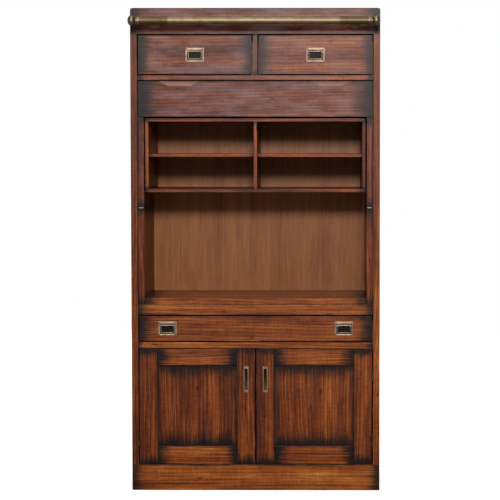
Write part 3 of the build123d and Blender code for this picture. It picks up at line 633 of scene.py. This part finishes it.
def door_pulls(plate_brass, screw_brass, screws):
    """Slim upright plates with a finger slot and a screw at each end."""
    for side in ("left", "right"):
        node = f"door_{side}_pull"
        at = centre(node)
        face = FACE_Y - PLATE_PROUD
        half_w, half_h = 10.5 * MM, 55 * MM
        slot_w, slot_h = 6.3 * MM, 45 * MM
        wall = 1.4 * MM
        layout = [
            (slot_w + wall, slot_h + wall, 1.6 * MM, face + 12.4 * MM),
            (slot_w + wall, slot_h + wall, 1.6 * MM, face + 3 * MM),
            (half_w, half_h, 2.6 * MM, face + 3 * MM),
            (half_w, half_h, 2.6 * MM, face + 0.8 * MM),
            (half_w - 0.8 * MM, half_h - 0.8 * MM, 2.2 * MM, face),
            (slot_w + 0.8 * MM, slot_h + 0.8 * MM, 1.5 * MM, face),
            (slot_w, slot_h, 0.8 * MM, face + 0.8 * MM),
            (slot_w, slot_h, 0.8 * MM, face + 9 * MM),
            (slot_w - 2 * MM, slot_h - 2 * MM, 0.6 * MM, face + 11 * MM),
        ]
        bm = bmesh.new()
        skin_rings(bm, [[p + Vector((at.x, 0, 0)) for p in rounded_outline(*ring, at.z)] for ring in layout])
        plate = as_object(node + "_plate", bm, plate_brass, 40)
        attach(plate, f"door_{side}")
        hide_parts(node)
        screw_rise = half_h - 4.5 * MM
        spots = [Vector((at.x, face - SCREW_PROUD, at.z + sz * screw_rise)) for sz in (-1, 1)]
        heads = screw_heads(screws, node + "_screws", spots, 2.2 * MM, 5, screw_brass)
        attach(heads, f"door_{side}")


# ---- Ladder rail ---------------------------------------------------------------------

STEM_R = 9 * MM
ROSE_T = 3.6 * MM
ROSE_SCREW_RING_R = 20.5 * MM


def sleeve_profile(radius, length):
    """A ringed sleeve on the tube: bead, groove and plain middle, the same from either end."""
    bead, groove = radius + 1.5 * MM, radius + 0.5 * MM
    half = [(0, radius), (0, bead - 0.4 * MM), (0.5 * MM, bead), (3.5 * MM, bead), (4 * MM, groove),
            (5.5 * MM, groove), (6 * MM, bead)]
    return half + [(length - t, r) for t, r in reversed(half)]


def finial_profile(radius, length):
    """From the tube's end: a grooved collar, a half-round disc, a narrow neck and a ball."""
    ball_half, ball_r, neck = 16.5 * MM, 22.5 * MM, 9 * MM
    collar, disc_half = 17.4 * MM, 2.5 * MM
    ball = length - ball_half
    disc_end = ball - ball_half - 2 * MM
    disc = disc_end - 2 * disc_half
    profile = [(0, radius - 1 * MM), (0, collar - 0.4 * MM), (0.4 * MM, collar), (3 * MM, collar),
               (3.5 * MM, collar - 1 * MM), (5 * MM, collar - 1 * MM), (5.5 * MM, collar),
               (disc - 1 * MM, collar), (disc, collar + 0.6 * MM)]
    for i in range(9):
        angle = math.pi * i / 8
        along = disc + disc_half * (1 - math.cos(angle))
        profile.append((along, collar + 1.6 * MM * math.sin(angle)))
    profile += [(disc_end + 0.3 * MM, 12 * MM), (disc_end + 1.2 * MM, neck)]
    start = math.asin(neck / ball_r)
    for i in range(28):
        angle = start + (math.pi - start) * i / 27
        profile.append((ball - ball_half * math.cos(angle), max(ball_r * math.sin(angle), 0.05 * MM)))
    return profile


def rose_profiles(reach):
    """A bracket's plate, whose rim is lobed, and its flared stem with a cup that holds the tube."""
    rose_r, cup_r, flare = 27 * MM, 10.5 * MM, 11 * MM
    plate = [(0, rose_r), (1.6 * MM, rose_r), (2.6 * MM, rose_r - 0.6 * MM), (3.2 * MM, rose_r - 2 * MM),
             (ROSE_T, 18 * MM)]
    stem = [plate[-1]]
    for i in range(10):
        t = i / 9
        stem.append((ROSE_T + flare * t, (17 - 8 * math.sin(math.pi / 2 * t)) * MM))
    stem += [(reach - 6 * MM, STEM_R), (reach - 5 * MM, cup_r), (reach - 2 * MM, cup_r), (reach, STEM_R)]
    return plate, stem


def rail(tube_brass, brass, bronze, screws):
    """The turned brass rail: tube, ringed sleeves, collared ball finials and its two brackets."""
    low, high = box("rail_tube")
    y, z, end = (low.y + high.y) / 2, (low.z + high.z) / 2, high.x
    radius = (high.z - low.z) / 2
    sleeve_low, sleeve_high = halves("rail_sleeves", 0)[1]
    sleeve = sleeve_profile(radius, sleeve_high - sleeve_low)
    finial = finial_profile(radius, box("rail_finials")[1].x - end)
    rose_x = sum(halves("rail_brackets", 0)[1]) / 2
    reach = abs(FACE_Y - y) - math.sqrt(radius ** 2 - STEM_R ** 2)
    plate, stem = rose_profiles(reach)

    tube, sleeves, finials, brackets = (bmesh.new() for _ in range(4))
    turned(tube, [(0, radius), (2 * end, radius)], (-end, y, z), (1, 0, 0), 128)
    spots = []
    for side in (-1, 1):
        turned(sleeves, sleeve, (side * sleeve_low, y, z), (side, 0, 0), 96)
        turned(finials, finial, (side * end, y, z), (side, 0, 0), 96)
        at = Vector((side * rose_x, FACE_Y, z))
        turned(brackets, plate, at, (0, -1, 0), 128, lobes=8, lobe_depth=0.10)
        turned(brackets, stem, at, (0, -1, 0), 64)
        for i in range(3):
            angle = math.radians(90 + 120 * i)
            spoke = Vector((math.cos(angle), 0, math.sin(angle)))
            spots.append(at + spoke * ROSE_SCREW_RING_R + Vector((0, -ROSE_T - 0.3 * MM, 0)))
    pieces = ((as_object("rail_tube_drawn", tube, tube_brass, 30), "rail_tube"),
              (as_object("rail_sleeves_turned", sleeves, tube_brass, 30), "rail_sleeves"),
              (as_object("rail_ball_finials", finials, brass, 40), "rail_finials"),
              (as_object("rail_brackets_cast", brackets, brass, 30), "rail_brackets"),
              (screw_heads(screws, "bracket_screw_heads", spots, 3.0 * MM, 7, bronze), "bracket_screws"))
    for piece, node in pieces:
        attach(piece, "case")
        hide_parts(node)


# ---- Hinges --------------------------------------------------------------------------

def hinge_trim(bronze, brass):
    """Bronze door hinges with turned pin tips, and the small bright barrels of the front frame."""
    for node in ("door_hinge_fixed_leaves", "door_left_hinges", "door_right_hinges"):
        set_material(NODES[node], bronze)
    for node in ("frame_hinge_fixed_leaves", "frame_hinge_moving_leaves"):
        set_material(NODES[node], brass)
    tips = bmesh.new()
    barrel_r = 4 * MM
    y = box("door_right_hinges")[0].y + barrel_r
    x = box("door_right_hinges")[1].x - barrel_r
    tip = [(-0.2 * MM, 2.2 * MM), (0.1 * MM, 3.6 * MM), (0.8 * MM, 3.6 * MM), (1.6 * MM, 2.2 * MM),
           (2.4 * MM, 2.5 * MM), (3.2 * MM, 1.8 * MM), (3.6 * MM, 0.2 * MM)]
    for side in (-1, 1):
        for low, high in halves("door_hinge_fixed_leaves", 2):
            turned(tips, tip, (side * x, y, high), (0, 0, 1), 24)
            turned(tips, tip, (side * x, y, low), (0, 0, -1), 24)
    piece = as_object("door_hinge_pin_tips", tips, bronze, 30)
    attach(piece, "case")


# ---- Stage, light and camera -----------------------------------------------------------

def studio():
    """A pale floor, a white backdrop all round, one soft key from the front and above, and weak fills.

    Floor and backdrop look white to the eye but give little light back, as in a large dim studio.
    """
    bm = bmesh.new()
    bmesh.ops.create_circle(bm, cap_ends=True, segments=96, radius=6.0)
    floor_material, tree, shader = new_material("pale_studio_floor", Roughness=0.9, Specular_IOR_Level=0.0)
    seen = add(tree, "ShaderNodeLightPath", out="Is Camera Ray")
    dust = add(tree, "ShaderNodeTexNoise", {"Scale": 2.0, "Detail": 2.0}, "Fac")
    pale = add(tree, "ShaderNodeValToRGB", {"Fac": dust}, "Color", [(0.3, "#f4f3f1"), (0.7, "#f8f7f5")])
    shown = add(tree, "ShaderNodeMix", {0: seen, 6: colour("#8f8c88"), 7: pale}, 2, **MIX)
    floor_glow = 0.6
    glow = add(tree, "ShaderNodeMath", {0: seen, 1: floor_glow}, 0, operation="MULTIPLY")
    tree.links.new(shown, shader.inputs["Base Color"])
    tree.links.new(pale, shader.inputs["Emission Color"])
    tree.links.new(glow, shader.inputs["Emission Strength"])
    floor = as_object("floor", bm, floor_material)

    world = bpy.data.worlds.new("studio")
    bpy.context.scene.world = world
    world.use_nodes = True
    tree = world.node_tree
    ambient = tree.nodes["Background"]
    ambient.inputs["Color"].default_value = (0.94, 0.97, 1.0, 1.0)
    ambient.inputs["Strength"].default_value = 0.26
    backdrop = add(tree, "ShaderNodeBackground", {"Color": (1.0, 1.0, 1.0, 1.0), "Strength": 1.0}, 0)
    seen = add(tree, "ShaderNodeLightPath", out="Is Camera Ray")
    shown = add(tree, "ShaderNodeMixShader", {0: seen, 1: ambient.outputs[0], 2: backdrop}, 0)
    tree.links.new(shown, tree.nodes["World Output"].inputs["Surface"])
    bpy.context.scene.view_settings.view_transform = "Standard"

    # Each lamp: name, place, what it is aimed at, width and height in metres, and watts.
    lamps = (
        ("key", (0.3, -7.0, 3.3), (0.0, FACE_Y, 1.05), (1.3, 0.8), 315.0),
        ("front_wall", (0.3, -8.5, 3.9), (0.0, FACE_Y, 1.4), (5.0, 2.4), 60.0),
        ("overhead", (0.0, -1.2, 5.0), (0.0, 0.0, 1.6), (4.0, 3.0), 60.0),
        ("back_fill", (0.0, 5.5, 3.4), (0.0, BACK_Y, 1.1), (3.0, 2.0), 160.0),
    )
    for name, place, aim, size, power in lamps:
        light = bpy.data.lights.new(name, "AREA")
        light.shape = "RECTANGLE"
        light.size, light.size_y = size
        light.energy = power
        lamp = bpy.data.objects.new(name, light)
        lamp.location = place
        lamp.rotation_euler = (Vector(aim) - Vector(place)).to_track_quat("-Z", "Y").to_euler()
        bpy.context.scene.collection.objects.link(lamp)


def camera():
    """Eye height, a little right of the middle, far back, tipped slightly down with a small shift."""
    data = bpy.data.cameras.new("camera")
    data.sensor_width = 36.0
    data.lens = 114.73
    data.shift_x = -0.13
    data.shift_y = -0.055
    distance, eye, off_centre = 6.711, 1.4578, 0.2971
    tip, turn = 0.0474, 0.0068
    eye_object = bpy.data.objects.new("camera", data)
    eye_object.location = (off_centre, FACE_Y - distance, eye)
    eye_object.rotation_euler = (math.pi / 2 - tip, 0, turn)
    bpy.context.scene.collection.objects.link(eye_object)
    bpy.context.scene.camera = eye_object


# ---- The scene --------------------------------------------------------------------------

camera()
studio()
dress_boards()
dress_plain_boards()
sleeve_bead_end = halves("rail_sleeves", 0)[1][0] + 3.5 * MM
tube_brass = aged_brass("drawn_brass_tube", DRAWN_BRASS, 0.50, None, sleeve_bead_end)
drawn_brass = aged_brass("turned_brass", DRAWN_BRASS, 0.42)
bail_brass = aged_brass("worn_brass_bail", DRAWN_BRASS, 0.42)
# Painted shade: nearly black in each drawer pull's pan.
plate_brass = aged_brass("cast_brass_plate", PLATE_BRASS, 0.5, "#211d1f")
# Painted shade: dark brown in each door pull's finger slot.
slim_brass = aged_brass("cast_brass_slim_plate", PLATE_BRASS, 0.5, "#432d1a")
bronze = aged_brass("tarnished_bronze", BRONZE, 0.45)
screws = screw_tree()
drawer_pulls(plate_brass, bail_brass, bronze, screws)
door_pulls(slim_brass, bronze, screws)
rail(tube_brass, drawn_brass, bronze, screws)
hinge_trim(bronze, drawn_brass)
